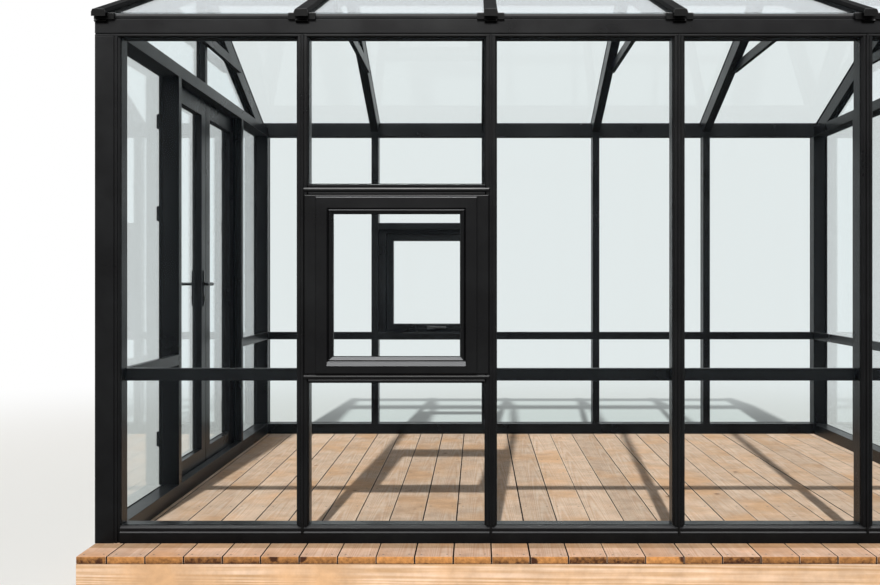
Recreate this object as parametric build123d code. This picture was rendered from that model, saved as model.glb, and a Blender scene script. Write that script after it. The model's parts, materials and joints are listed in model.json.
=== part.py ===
"""Glass greenhouse: a black aluminium frame with clear panes, standing on a timber deck.

Millimetres. The origin is on the ground at the middle of the plan, +Z is up, +X runs along the
ridge and the wall at -Y is the front. The double door is in the gable at -X.

Each wall is drawn in its own frame, seen from outside: along the wall to the right, inward from
the outer face, and up from the top of the deck. WALL_PLACE then stands it in its place.
"""
from build123d import *
import os
from math import cos, radians, tan

# Grid of the building
bay = 749.0                 # from one mullion line to the next
bays_long = 5
bays_gable = 4              # the depth in bays, though the door divides the gables its own way
wall = 98.0                 # outer face to inner face
bar = 46.0                  # width of a mullion, a transom and a rafter
end_margin = wall - bar / 2  # last line to the outer face, so that every pane is equally wide
length = bays_long * bay + 2 * end_margin
depth = bays_gable * bay + 2 * end_margin

# Deck
joist_height = 145.0
joist_width = 45.0
board_thickness = 28.0
joist_rows = 3              # rows of joists on each side of the middle one
deck_nosing = 205.0         # how far the boards run out past the front and back walls
deck_top = joist_height + board_thickness

# Glass and its seats
glass_thickness = 4.0
glass_inset = 16.0          # outer face of the wall to outer face of the pane
edge_cover = 12.0           # how deep a pane's edge sits in its bar
clearance = 0.3             # round a pane in its slot, and at other close fits

# Bars of the walls: cover strips (noses), grooves, beads and gaskets
nose = 10.5                 # cover strip down a mullion
transom_nose = 16.0         # cover strip along a transom
nose_proud = 3.0
nose_shoulder = 0.9         # how far its shoulders and its edges lie behind its middle
nose_crown = 2.6
nose_foot = 31.0            # height at which a mullion's cover strip ends over the base rail
groove = 4.0
groove_depth = 5.0
strip = 8.0
strip_back = 2.0
gasket_front = 8.0
gasket_back = 13.0
post_groove = 5.0
base_height = 69.0
base_flat = 42.0
base_line = 2.5
base_gasket = 9.0           # height of the slope from the bead up to the glass
eave_bottom = 2016.0
eave_strip = 7.0
eave_groove = 5.0
eave_face_top = 2084.0
eave_top = 2094.0           # flat top of the beam, behind its lip
lip_line = 4.5              # height of the line under the lip
lip_line_depth = 8.0
lip_front = 4.0
lip_bevel_bottom = 2098.0
lip_top_front = 7.0
lip_back = 30.0
tie_height = 58.0
mid_rail_bottom = 640.0
mid_rail_height = 50.0
mid_rail_depth = 26.0

# Roof
pitch = 20.0
roof_start = 2104.0         # height of the rafters' top plane at the wall's outer face
rafter_width = 51.0
rafter_depth = 89.0
rafter_neck = 16.0
gable_neck = 14.0
cap_width = 54.0
cap_top_width = 44.0
cap_height = 18.5
cap_side = 8.0              # height of the cap's upright sides
cap_overhang = 34.0         # how far the caps run out past the wall
roof_glass_start = 6.0      # outer face of the wall to the lower edge of the roof glass
ridge_beam_width = 46.0
ridge_beam_height = 140.0
ridge_cap_reach = 62.0
collar_bottom = 2310.5
collar_height = 51.0
collar_thickness = 24.0
collar_lap = 11.0           # how much of a tie's thickness is beside its rafter, not under it
collar_setback = 808.0      # outer face of the wall to a tie's upright ends
block_width = 108.0
block_proud = 12.0
block_bottom = 2080.0
tab_width = 48.0
tab_proud = 18.0
tab_top = 2081.0
tab_edge = 2073.5
tab_bottom = 2068.0
closer_width = 56.0         # plate that closes the lower end of a rafter cap
closer_thickness = 3.0
closer_web_width = 40.0
closer_web_height = 8.0

# Opening windows, one in the front and one in the back
window_line = 1             # the window fills the bay that follows this mullion line
lower_transom = 661.0       # centre heights
upper_transom = 1406.0
frame_depth = 60.0
frame_proud = 4.0
frame_side = 8.0            # mullion line to the edge of the frame's face
frame_over = 12.0           # lower transom's centre to the bottom of the frame's face
frame_under = 20.5          # upper transom's centre to the top of the frame's face
face_bevel = 3.0            # outer edges of a frame's, a sash's and a leaf's face
sash_side = 54.0            # mullion line to the side of the sash
sash_over = 14.0            # lower transom's centre to the bottom of the sash
sash_under = 29.0           # upper transom's centre to the top of the sash
sash_member = 66.5
sill_height = 15.0          # sloping strip under the pane
sill_proud = 4.0            # how far its lower edge stands out from the sash's face
sash_proud = 14.0
sash_lap = 18.0             # how far the sash lies over the frame
sash_body_depth = 44.0
sash_body_gap = 4.0
sash_glass_inset = 20.0

# The bead round a pane in a sash or a door leaf, from the pane's side
bead = 12.5
bead_depth = 6.0            # face of the sash to the top of the bead
bead_inner_depth = 16.5     # face of the sash to the bead's edge at the glass
bead_line = 9.0             # width of the V line outside the bead
bead_line_depth = 10.0
slope_depth = 5.0
latch_base = (52.0, 10.0, 24.0)     # width, thickness and height of the latch's parts
latch_pivot = (20.0, 14.0, 20.0)
latch_arm = (118.0, 9.0, 13.0)

# Double door in the left gable
door_post_line = 688.0      # from the middle of the gable to a door post's centre line
door_stop = 14.0
door_stop_thickness = 10.0
door_gap = 6.0              # round each leaf
leaf_gap = 8.5              # between the two leaves
leaf_thickness = 56.0
leaf_proud = 8.0
leaf_member = 85.0
leaf_slope = 4.5
leaf_glass_inset = 20.0
threshold_height = 50.0

# Hinges and handle
pin_reach = 8.0             # face of the leaf to the hinge axis
knuckle_radius = 7.5
pin_radius = 4.0
pin_root = 2.0              # how far the pin is let into its own barrel
knuckle_height = 32.0
knuckle_gap = 1.5
hinge_plate_width = 34.0
hinge_plate_thickness = 3.0
hinge_heights = (281.0, 1364.0, 1807.0)
handle_height = 1023.0
handle_backset = 42.0       # closing edge of the leaf to the spindle
spindle_radius = 4.5
escutcheon_width = 30.0
escutcheon_above = 72.0     # spindle to the top of the plate
escutcheon_below = 118.0
escutcheon_thickness = 5.0
lever_stand_off = 42.0
lever_length = 118.0
lever_radius = 9.0
lever_neck_radius = 8.0

# Values that follow
half_length = length / 2
half_depth = depth / 2
slope = tan(radians(pitch))
steep = cos(radians(pitch))
half_bar = bar / 2
post_flat = end_margin
rafter_half = rafter_width / 2
pane_edge = half_bar - edge_cover          # from a bar's centre line to the pane's edge
tie_top = eave_bottom + tie_height
collar_reach = half_depth - collar_setback
eave_face_bottom = eave_bottom + eave_strip + eave_groove
pane_gap = pane_edge - rafter_neck / 2     # beside the neck that a roof pane lies against
neck_height = glass_thickness + 2 * clearance
ridge_half = ridge_beam_width / 2
leaf_front = -leaf_proud
leaf_back = leaf_front + leaf_thickness
opening_half = door_post_line - half_bar
leaf_outer = opening_half - door_gap
leaf_inner = leaf_gap / 2
leaf_bottom = threshold_height + door_gap
leaf_top = eave_bottom - door_gap
pin_along = (opening_half + leaf_outer) / 2
pin_inward = leaf_front - pin_reach

WALL_PLACE = {
    "front": Location((0, -half_depth, deck_top), (0, 0, 0)),
    "right": Location((half_length, 0, deck_top), (0, 0, 90)),
    "back": Location((0, half_depth, deck_top), (0, 0, 180)),
    "left": Location((-half_length, 0, deck_top), (0, 0, -90)),
}


# Ways to draw

def block(along, inward, up):
    """A plain block from its low and high values in the wall's three directions."""
    size = [high - low for low, high in (along, inward, up)]
    middle = [(high + low) / 2 for low, high in (along, inward, up)]
    return Pos(*middle) * Box(*size)


def upright(outline, at, low, high):
    """An outline of (along, inward) points, raised between two heights."""
    return Pos(at, 0, low) * extrude(Polygon(*outline, align=None), high - low, dir=(0, 0, 1))


def rail(outline, start, end):
    """An outline of (inward, up) points, drawn along the wall."""
    face = Plane.YZ * Polygon(*outline, align=None)
    return Pos(start, 0, 0) * extrude(face, end - start, dir=(1, 0, 0))


def sheet(outline, front, back):
    """An outline of (along, up) points with its thickness inward."""
    face = Plane.XZ * Polygon(*outline, align=None)
    return Pos(0, front, 0) * extrude(face, back - front, dir=(0, 1, 0))


def rectangle(left, right, low, high):
    return [(left, low), (right, low), (right, high), (left, high)]


def glass(outline, front=glass_inset, grow=0.0):
    """A pane. With grow it is the slot that holds the pane, a clearance larger all round."""
    face = Plane.XZ * Polygon(*outline, align=None)
    if grow:
        face = offset(face, grow, kind=Kind.INTERSECTION)
    back = front + glass_thickness
    return Pos(0, front - grow, 0) * extrude(face, back - front + 2 * grow, dir=(0, 1, 0))


def shrunk(outer, margin):
    """A (left, right, low, high) rectangle, a margin smaller on every side."""
    left, right, low, high = outer
    return left + margin, right - margin, low + margin, high - margin


def ring(outer, inner, front, back):
    """A flat frame between two (left, right, low, high) rectangles."""
    hole = sheet(rectangle(*inner), front - 1, back + 1)
    return sheet(rectangle(*outer), front, back) - hole


def mitred(outer, section):
    """A frame of one section with mitred corners. Outer is its (left, right, low, high) rectangle
    and the section has (across, inward) points, across being measured from the outer edge."""
    left, right, low, high = outer
    middle = (left + right) / 2
    path = Polyline((middle, 0, low), (right, 0, low), (right, 0, high), (left, 0, high),
                    (left, 0, low), (middle, 0, low))
    start = Plane(origin=(middle, 0, low), x_dir=(0, 1, 0), z_dir=(1, 0, 0))
    face = start * Polygon(*[(inward, across) for across, inward in section], align=None)
    return sweep(face, path=path, transition=Transition.RIGHT)


def meets(first, second):
    """Whether two bounding boxes overlap."""
    one, two = first.bounding_box(), second.bounding_box()
    return all(low < high for low, high in (
        (max(one.min.X, two.min.X), min(one.max.X, two.max.X)),
        (max(one.min.Y, two.min.Y), min(one.max.Y, two.max.Y)),
        (max(one.min.Z, two.min.Z), min(one.max.Z, two.max.Z))))


def slotted(pieces, slots):
    """The pieces with a slot for each pane edge that they hold."""
    result = []
    for piece in pieces:
        for slot in slots:
            if meets(piece, slot):
                piece = piece - slot
        result.append(piece)
    return result


def placed(wall_name, pieces):
    return [WALL_PLACE[wall_name] * piece for piece in pieces]


# Outlines

def both_sides(half):
    """A symmetrical outline from the points of its positive side."""
    return half + [(-across, inward) for across, inward in reversed(half)]


def nose_points(width):
    """The crowned face of a cover strip, on its positive side."""
    return [(width * 0.12, -nose_proud), (width * 0.34, nose_shoulder - nose_proud),
            (width / 2, nose_crown - nose_proud)]


def bar_outline(bar_depth, nose_width=nose):
    """Section of a mullion or transom: (across, inward) points, with a nose between two beads."""
    groove_edge = nose_width / 2 + groove
    strip_edge = groove_edge + strip
    return both_sides(nose_points(nose_width) + [
        (nose_width / 2, groove_depth), (groove_edge, groove_depth), (groove_edge, strip_back),
        (strip_edge, strip_back), (strip_edge, gasket_front), (half_bar, gasket_back),
        (half_bar, bar_depth)])


def nose_outline(width, back):
    """Section of a cover strip alone, where it runs on over another bar."""
    return both_sides(nose_points(width) + [(width / 2, back)])


def post_outline():
    """Section of a corner post from its outer corner, the same on both of its faces."""
    groove_edge = post_flat + post_groove
    strip_edge = groove_edge + strip
    face = [(post_flat, 0), (post_flat, groove_depth), (groove_edge, groove_depth),
            (groove_edge, strip_back), (strip_edge, strip_back), (strip_edge, gasket_front),
            (wall, gasket_back)]
    return [(0, 0)] + face + [(wall, wall)] + [(b, a) for a, b in reversed(face)]


def door_post_outline(door_side):
    """Section of a door post: bead and pane on one side, plain face and door stop on the other."""
    strip_edge = nose / 2 + groove + strip
    stop_front = leaf_back + door_gap
    points = [(half_bar, 0), (half_bar, stop_front), (half_bar + door_stop, stop_front),
              (half_bar + door_stop, stop_front + door_stop_thickness),
              (half_bar, stop_front + door_stop_thickness), (half_bar, wall), (-half_bar, wall),
              (-half_bar, gasket_back), (-strip_edge, gasket_front), (-strip_edge, 0)]
    return [(door_side * across, inward) for across, inward in points]


def base_outline():
    """Section of a base rail: face, bevelled edge and line, then the bead up to the glass."""
    line_bottom = base_flat + groove_depth
    line_top = line_bottom + base_line
    return [(0, 0), (0, base_flat), (groove_depth, line_bottom), (groove_depth, line_top),
            (strip_back, line_top), (strip_back, base_height - base_gasket),
            (gasket_back, base_height), (wall, base_height), (wall, 0)]


def bead_over_glass():
    """The bead and the line at the lower edge of a beam, up to its plain face."""
    strip_top = eave_bottom + eave_strip
    return [(strip_back, eave_bottom), (strip_back, strip_top), (groove_depth, strip_top),
            (groove_depth, eave_face_bottom), (0, eave_face_bottom)]


def eave_outline():
    """Section of an eave beam: bead, plain face, and the lip that carries the roof glass."""
    line_top = eave_face_top + lip_line
    return bead_over_glass() + [
        (0, eave_face_top), (lip_line_depth, eave_face_top), (lip_line_depth, line_top),
        (lip_front, line_top), (lip_front, lip_bevel_bottom),
        (lip_top_front, roof_start + lip_top_front * slope),
        (lip_back, roof_start + lip_back * slope), (lip_back, eave_top), (wall, eave_top),
        (wall, eave_bottom)]


def tie_outline():
    """Section of the beam across a gable, with a bead for the glass below and above it."""
    lower = bead_over_glass()
    upper = [(inward, tie_top - (up - eave_bottom)) for inward, up in reversed(lower)]
    return lower + upper + [(wall, tie_top), (wall, eave_bottom)]


def leaf_section(member, front, back, slope_width):
    """Section of a leaf's frame: flat face, slope, V line, and the bead down to the glass."""
    bead_edge = member - bead
    line_edge = bead_edge - bead_line
    return [(0, front + face_bevel), (face_bevel, front), (line_edge - slope_width, front),
            (line_edge, front + slope_depth),
            (line_edge + bead_line / 2, front + bead_line_depth), (bead_edge, front + bead_depth),
            (member, front + bead_inner_depth), (member, back), (0, back)]


def swapped(outline, height):
    """A bar's outline turned to lie level at a height, as (inward, up) points."""
    return [(inward, height + across) for across, inward in outline]


# The grid

def lines(bays):
    """Mullion lines of a wall, from its left end line to its right end line."""
    return [(number - bays / 2) * bay for number in range(bays + 1)]


def pane_sides(bays, number):
    """Left and right edge of the pane in a bay."""
    return lines(bays)[number] + pane_edge, lines(bays)[number + 1] - pane_edge


def clear_sides(bays, number):
    """Left and right side of the clear width in a bay, between bars or posts."""
    left, right = pane_sides(bays, number)
    return left + edge_cover, right - edge_cover


pane_low = base_height - edge_cover
pane_high = eave_bottom + edge_cover
gable_pane_end = half_depth - wall + edge_cover


def long_wall_panes(window_bay):
    """Outlines of the fixed panes in the front or back wall."""
    outlines = []
    for number in range(bays_long):
        left, right = pane_sides(bays_long, number)
        if number == window_bay:
            outlines.append(rectangle(left, right, pane_low, lower_transom - pane_edge))
            outlines.append(rectangle(left, right, upper_transom + pane_edge, pane_high))
        else:
            outlines.append(rectangle(left, right, pane_low, pane_high))
    return outlines


def left_wall_panes():
    """Outlines of the two side lights beside the door."""
    inner = door_post_line + pane_edge
    return [rectangle(-gable_pane_end, -inner, pane_low, pane_high),
            rectangle(inner, gable_pane_end, pane_low, pane_high)]


def right_wall_panes():
    """Outlines of the four panes between the posts of the closed gable."""
    edges = [-gable_pane_end, -door_post_line, 0, door_post_line, gable_pane_end]
    outlines = []
    for left, right in zip(edges, edges[1:]):
        low = left if left == -gable_pane_end else left + pane_edge
        high = right if right == gable_pane_end else right - pane_edge
        outlines.append(rectangle(low, high, pane_low, pane_high))
    return outlines


# The roof's planes

def roof_height(across, off=0.0):
    """Height above the deck of the rafters' top plane, or of a plane off from it, at a distance
    across from the ridge line. Off is square to the slope, upward."""
    return roof_start + (half_depth - abs(across)) * slope + off / steep


def gable_panes():
    """Outlines of the two panes over a gable's tie beam, each side of the king mullion."""
    tip = half_depth - (tie_top - roof_start + rafter_depth / steep) / slope
    high = -rafter_depth + edge_cover
    side = [(pane_edge, tie_top - edge_cover), (tip, tie_top - edge_cover),
            (tip, roof_height(tip, high)), (pane_edge, roof_height(pane_edge, high))]
    return [side, [(-along, up) for along, up in side]]


def slope_bar(section, across):
    """A bar on the front slope, from its section in (X, off) points, between two distances from
    the ridge line, with upright cuts at both ends. Off is as in roof_height."""
    near, far = across
    end = Plane.XZ * Polygon(*[(x, roof_height(far, off)) for x, off in section], align=None)
    bar_length = (far - near) / steep
    return Pos(0, -far, deck_top) * extrude(end, bar_length, dir=(0, steep, steep * slope))


def slope_piece(along, across, off):
    """A bar on the front slope with a plain section."""
    return slope_bar(rectangle(*along, *off), across)


def both_slopes(pieces):
    """The pieces of the front slope and their twins on the back slope."""
    return pieces, [Rotation(0, 0, 180) * piece for piece in pieces]


# Deck

def deck_parts():
    out = half_depth + deck_nosing
    inside = out - joist_width
    rim_end = half_length - joist_width
    under = (0, joist_height)
    long_rims = [block((-half_length, half_length), (low, low + joist_width), under)
                 for low in (-out, inside)]
    end_rims = [block((low, low + joist_width), (-inside, inside), under)
                for low in (-half_length, rim_end)]
    spacing = inside / (joist_rows + 1)
    joists = [block((-rim_end, rim_end), (row * spacing - joist_width / 2,
                                          row * spacing + joist_width / 2), under)
              for row in range(-joist_rows, joist_rows + 1)]
    floor = [block((-half_length, half_length), (-out, out), (joist_height, deck_top))]
    return {"deck_long_rims": long_rims, "deck_end_rims": end_rims,
            "deck_joists": joists, "deck_floor": floor}


# Walls

def mullion(at):
    """A mullion, its cover strip running on over the base rail and under the beam's face."""
    strip_top = eave_bottom + eave_strip
    return (upright(bar_outline(wall), at, base_height, eave_bottom)
            + upright(nose_outline(nose, 0), at, nose_foot, base_height)
            + upright(nose_outline(nose, strip_back), at, eave_bottom, strip_top))


def transom(height, window_bay):
    """A transom, its cover strip running on over the mullions' beads to their cover strips."""
    left, right = clear_sides(bays_long, window_bay)
    nose_left, nose_right = [side * nose / 2 + lines(bays_long)[window_bay + number]
                             for side, number in ((1, 0), (-1, 1))]
    return (rail(swapped(bar_outline(wall, transom_nose), height), left, right)
            + rail(swapped(nose_outline(transom_nose, strip_back), height), nose_left, nose_right))


def eave_beam():
    """An eave beam. Over a corner post its bead is filled out flush with the post's face."""
    beam = rail(eave_outline(), -half_length, half_length)
    for low in (-half_length, half_length - post_flat):
        beam += block((low, low + post_flat), (0, strip_back), (eave_bottom, eave_bottom + eave_strip))
    return beam


def long_wall(name, window_bay, slots):
    """Mullions, rails, beam, transoms and glass of the front or back wall."""
    inner_lines = lines(bays_long)[1:-1]
    rail_end = half_length - wall
    mullions = [mullion(at) for at in inner_lines]
    mid_rails = []
    for number in range(bays_long):
        left, right = clear_sides(bays_long, number)
        if number != window_bay:
            mid_rails.append(block((left, right), (wall - mid_rail_depth, wall),
                                   (mid_rail_bottom, mid_rail_bottom + mid_rail_height)))
    transoms = [transom(height, window_bay) for height in (lower_transom, upper_transom)]
    base = rail(base_outline(), -rail_end, rail_end)
    panes = placed(name, [glass(outline) for outline in long_wall_panes(window_bay)])
    return {
        f"{name}_mullions": slotted(placed(name, mullions), slots),
        f"base_rail_{name}": slotted(placed(name, [base]), slots),
        f"eave_beam_{name}": slotted(placed(name, [eave_beam()]), slots),
        f"mid_rails_{name}": placed(name, mid_rails),
        f"glass_{name}": panes,
    }, slotted(placed(name, transoms), slots)


def left_wall(slots):
    """The gable with the door opening and a side light on each side of it."""
    posts = [upright(door_post_outline(-side), side * door_post_line, base_height, eave_bottom)
             for side in (-1, 1)]
    rail_inner, rail_end = door_post_line - half_bar, half_depth - wall
    base = [rail(base_outline(), low, high)
            for low, high in ((-rail_end, -rail_inner), (rail_inner, rail_end))]
    mid = [block((low, high), (wall - mid_rail_depth, wall),
                 (mid_rail_bottom, mid_rail_bottom + mid_rail_height))
           for low, high in ((-rail_end, -door_post_line - half_bar),
                             (door_post_line + half_bar, rail_end))]
    sill = [(0, 0), (0, threshold_height), (leaf_back + door_gap, threshold_height),
            (leaf_back + door_gap, base_height), (wall, base_height), (wall, 0)]
    tie = rail(tie_outline(), -rail_end, rail_end)
    panes = [glass(outline) for outline in left_wall_panes() + gable_panes()]
    return {
        "door_posts": slotted(placed("left", posts), slots),
        "base_rails_left": slotted(placed("left", base), slots),
        "door_threshold": placed("left", [rail(sill, -rail_inner, rail_inner)]),
        "tie_beam_left": slotted(placed("left", [tie]), slots),
        "mid_rails_left": placed("left", mid),
        "glass_left": placed("left", panes),
    }


def right_wall(slots):
    """The closed gable, glazed between three posts."""
    rail_end = half_depth - wall
    post_lines = (-door_post_line, 0, door_post_line)
    posts = [mullion(at) for at in post_lines]
    ends = [-rail_end] + [edge for at in post_lines for edge in (at - half_bar, at + half_bar)]
    ends.append(rail_end)
    mid = [block((low, high), (wall - mid_rail_depth, wall),
                 (mid_rail_bottom, mid_rail_bottom + mid_rail_height))
           for low, high in zip(ends[::2], ends[1::2])]
    panes = [glass(outline) for outline in right_wall_panes() + gable_panes()]
    return {
        "right_gable_posts": slotted(placed("right", posts), slots),
        "base_rail_right": slotted(placed("right", [rail(base_outline(), -rail_end, rail_end)]), slots),
        "tie_beam_right": slotted(placed("right", [rail(tie_outline(), -rail_end, rail_end)]), slots),
        "mid_rails_right": placed("right", mid),
        "glass_right": placed("right", panes),
    }


def corner_posts(slots):
    """Four posts, each turned so that its outer corner is at the corner of the plan."""
    post = upright(post_outline(), 0, 0, eave_bottom)
    corners = [(-half_length, -half_depth, 0), (half_length, -half_depth, 90),
               (half_length, half_depth, 180), (-half_length, half_depth, 270)]
    posts = [Location((x, y, deck_top), (0, 0, turn)) * post for x, y, turn in corners]
    return {"corner_posts": slotted(posts, slots)}


# Opening windows

def window(name, window_bay):
    """Fixed frame, top-hung sash, its pane and its latch, in one bay of a long wall."""
    line_left, line_right = lines(bays_long)[window_bay:window_bay + 2]
    left, right = clear_sides(bays_long, window_bay)
    middle = (left + right) / 2
    low, high = lower_transom + half_bar, upper_transom - half_bar
    face = (line_left + frame_side, line_right - frame_side, lower_transom + frame_over,
            upper_transom - frame_under)
    sash = (line_left + sash_side, line_right - sash_side, lower_transom + sash_over,
            upper_transom - sash_under)
    hole = shrunk(sash, sash_lap)
    frame = ring(face, hole, -frame_proud, strip_back)
    front_face = frame.faces().sort_by(Axis.Y)[0]
    frame = chamfer(front_face.outer_wire().edges(), face_bevel)
    frame = frame + ring((left, right, low, high), hole, strip_back, frame_depth)
    body_edge = sash_lap + sash_body_gap
    section = leaf_section(sash_member, -sash_proud, sash_body_depth, 0)
    section = section[:-1] + [(body_edge, sash_body_depth), (body_edge, -frame_proud - clearance),
                              (0, -frame_proud - clearance)]
    pane = rectangle(*shrunk(sash, sash_member - edge_cover))
    pane_front = sash_glass_inset - sash_proud
    sash_ring = mitred(sash, section) - glass(pane, pane_front, clearance)
    line_edge = sash_member - bead - bead_line
    sill_along, sill_top = (sash[0] + line_edge, sash[1] - line_edge), sash[2] + line_edge
    sill_low, sill_back = sill_top - sill_height, slope_depth - sash_proud
    sash_ring = sash_ring - block(sill_along, (-2 * sash_proud, sill_back), (sill_low, sill_top))
    sash_ring = sash_ring + rail([(sill_back, sill_top), (-sash_proud - sill_proud, sill_low),
                                  (sill_back, sill_low)], *sill_along)
    latch_up = sash[2] + (body_edge + sash_member) / 2
    return {"window_frames": placed(name, [frame]), "window_sashes": placed(name, [sash_ring]),
            "window_glass": placed(name, [glass(pane, pane_front)]),
            "window_latches": placed(name, [latch(middle, latch_up)])}


def latch(at, up):
    """The handle inside a sash: a base, a pivot and an arm that points to the right from inside."""
    def part(size, along, start):
        width, thickness, height = size
        low = along - width if size is latch_arm else along - width / 2
        return block((low, low + width), (start, start + thickness), (up - height / 2, up + height / 2))
    base_end = sash_body_depth + latch_base[1]
    pivot_end = base_end + latch_pivot[1]
    return (part(latch_base, at, sash_body_depth) + part(latch_pivot, at, base_end)
            + part(latch_arm, at + latch_pivot[0] / 2, pivot_end - latch_arm[1]))


# Roof

def rafter_lines():
    return lines(bays_long)[1:-1]


def gable_rafter_lines():
    """Centre lines of the rafters in the two gables, flush with the gables' outer faces."""
    return [side * (half_length - rafter_half) for side in (-1, 1)]


def cap_section(at, grow=0.0):
    """Section of a rafter cap over a line, with bevelled shoulders. Grow widens it."""
    side, top = (cap_width + grow) / 2, (cap_top_width + grow) / 2
    base, shoulder, high = neck_height, neck_height + cap_side, neck_height + cap_height
    return [(at - side, base), (at + side, base), (at + side, shoulder), (at + top, high),
            (at - top, high), (at - side, shoulder)]


def rafter(along, neck, low_cut):
    """A rafter with the neck that its cap sits on, notched over the eave beam behind the lip
    and cut level at a height where it stands on a gable's beam."""
    bar_piece = slope_piece(along, (ridge_half, half_depth - lip_back), (-rafter_depth, 0))
    notch = block(along, (-half_depth, wall - half_depth), (0, eave_top))
    under = block(along, (-half_depth, 0), (0, low_cut))
    bar_piece = bar_piece - Pos(0, 0, deck_top) * (notch + under)
    return bar_piece + slope_piece(neck, (ridge_half, half_depth - lip_top_front), (0, neck_height))


def roof(slots):
    rafters, gables, caps, panes = [], [], [], []
    cap_span = (ridge_cap_reach, half_depth + cap_overhang)
    for at in rafter_lines():
        rafters.append(rafter((at - rafter_half, at + rafter_half),
                              (at - rafter_neck / 2, at + rafter_neck / 2), eave_bottom))
    for side in (-1, 1):
        along = sorted((side * (half_length - rafter_width), side * half_length))
        neck = sorted((side * (half_length - gable_neck), side * half_length))
        gables.append(rafter(along, neck, tie_top))
    for at in rafter_lines() + gable_rafter_lines():
        caps.append(slope_bar(cap_section(at), cap_span))
    pane_span = (rafter_neck / 2 + clearance, half_depth - roof_glass_start)
    end = half_length - gable_neck - pane_gap
    for number in range(bays_long):
        left, right = pane_sides(bays_long, number)
        left = -end if number == 0 else left
        right = end if number == bays_long - 1 else right
        panes.append(slope_piece((left, right), pane_span,
                                 (clearance, clearance + glass_thickness)))
    front_rafters, back_rafters = both_slopes(rafters)
    front_panes, back_panes = both_slopes(panes)
    gable_rafters = slotted(sum(both_slopes(gables), []), slots)
    return {"rafters_front": front_rafters, "rafters_back": back_rafters,
            "gable_rafters": gable_rafters, "rafter_caps": sum(both_slopes(caps), []),
            "roof_glass_front": front_panes, "roof_glass_back": back_panes}


def ridge(slots):
    """The beam that the rafters butt against, and the cap over the top edges of the glass."""
    top = roof_height(ridge_half)
    apex = roof_height(0)
    neck = rafter_neck / 2
    neck_top = roof_height(neck, neck_height)
    low = apex - ridge_beam_height
    beam = rail([(-ridge_half, low), (-ridge_half, top), (-neck, roof_height(neck)),
                 (-neck, neck_top), (0, roof_height(0, neck_height)), (neck, neck_top),
                 (neck, roof_height(neck)), (ridge_half, top), (ridge_half, low)],
                -half_length, half_length)
    reach = ridge_cap_reach
    cap_base, cap_top = neck_height, neck_height + cap_height
    cap = rail([(-reach, roof_height(reach, cap_base)), (0, roof_height(0, cap_base)),
                (reach, roof_height(reach, cap_base)), (reach, roof_height(reach, cap_top)),
                (0, roof_height(0, cap_top)), (-reach, roof_height(reach, cap_top))],
               -half_length, half_length)
    raised = Pos(0, 0, deck_top)
    return {"ridge_beam": slotted([raised * beam], slots), "ridge_cap": [raised * cap]}


def under_rafter(height):
    """Distance from the ridge line at which the rafters' lower faces have a height."""
    return half_depth - (height - roof_start + rafter_depth / steep) / slope


def collar_tie(side_face):
    """A tie half under a pair of rafters and half against their side, with upright ends."""
    low, high = collar_bottom, collar_bottom + collar_height
    far, near = under_rafter(low), under_rafter(high)
    under = rail([(-far, low), (far, low), (near, high), (-near, high)],
                 side_face + collar_lap - collar_thickness, side_face)
    return under + gable_tie(side_face, collar_lap)


def gable_tie(start, thickness=collar_thickness):
    """A tie against the side of a pair of rafters."""
    return block((start, start + thickness), (-collar_reach, collar_reach),
                 (collar_bottom, collar_bottom + collar_height))


def collar_ties():
    inner = half_length - rafter_width
    ties = [collar_tie(at + rafter_half) for at in rafter_lines()]
    ties += [gable_tie(-inner), gable_tie(inner - collar_thickness)]
    return {"collar_ties": [Pos(0, 0, deck_top) * tie for tie in ties]}


def king_mullions(slots):
    """The upright over each gable's tie beam, up to the ridge beam."""
    high = roof_height(0) - ridge_beam_height
    pieces = []
    for name in ("left", "right"):
        pieces += placed(name, [upright(bar_outline(rafter_width), 0, tie_top, high)])
    return {"king_mullions": slotted(pieces, slots)}


def eave_block(at):
    """The block under the lower end of a rafter cap, with the plate that closes the cap. At a
    gable it is cut off at the gable's outer face."""
    def cap_under(inward):
        return roof_height(half_depth - inward, neck_height)

    def limited(width):
        return max(at - width / 2, -half_length), min(at + width / 2, half_length)
    body = [(-block_proud, block_bottom), (-block_proud, cap_under(-block_proud)),
            (lip_front, cap_under(lip_front)), (lip_front, eave_face_top), (0, eave_face_top),
            (0, block_bottom)]
    tab = [(-block_proud, tab_top), (-tab_proud, tab_edge), (-strip_back, tab_bottom),
           (0, tab_bottom), (0, tab_top)]
    on_wall = WALL_PLACE["front"] * (rail(body, *limited(block_width)) + rail(tab, *limited(tab_width)))
    end = half_depth + cap_overhang
    web = slope_piece(limited(closer_web_width), (half_depth, end),
                      (neck_height - closer_web_height, neck_height))
    plate = slope_bar(cap_section(at, closer_width - cap_width), (end, end + closer_thickness))
    foot = slope_piece((at - closer_width / 2, at + closer_width / 2), (end, end + closer_thickness),
                       (neck_height - closer_web_height, neck_height))
    return on_wall + web + plate + foot


def eave_blocks():
    blocks = [eave_block(at) for at in rafter_lines() + gable_rafter_lines()]
    return {"eave_blocks": sum(both_slopes(blocks), [])}


# Door leaves. On the left wall the front leaf is on the side of positive along.

def leaf(side):
    """Frame and pane of one leaf."""
    left, right = sorted((side * leaf_inner, side * leaf_outer))
    outer = (left, right, leaf_bottom, leaf_top)
    pane = rectangle(*shrunk(outer, leaf_member - edge_cover))
    pane_front = leaf_front + leaf_glass_inset
    frame = mitred(outer, leaf_section(leaf_member, leaf_front, leaf_back, leaf_slope))
    return frame - glass(pane, pane_front, clearance), glass(pane, pane_front)


def knuckle(centre_height, low, high):
    """A length of hinge barrel round the pin's axis."""
    return Pos(pin_along, pin_inward, centre_height + (low + high) / 2) * Cylinder(
        knuckle_radius, high - low)


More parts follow.
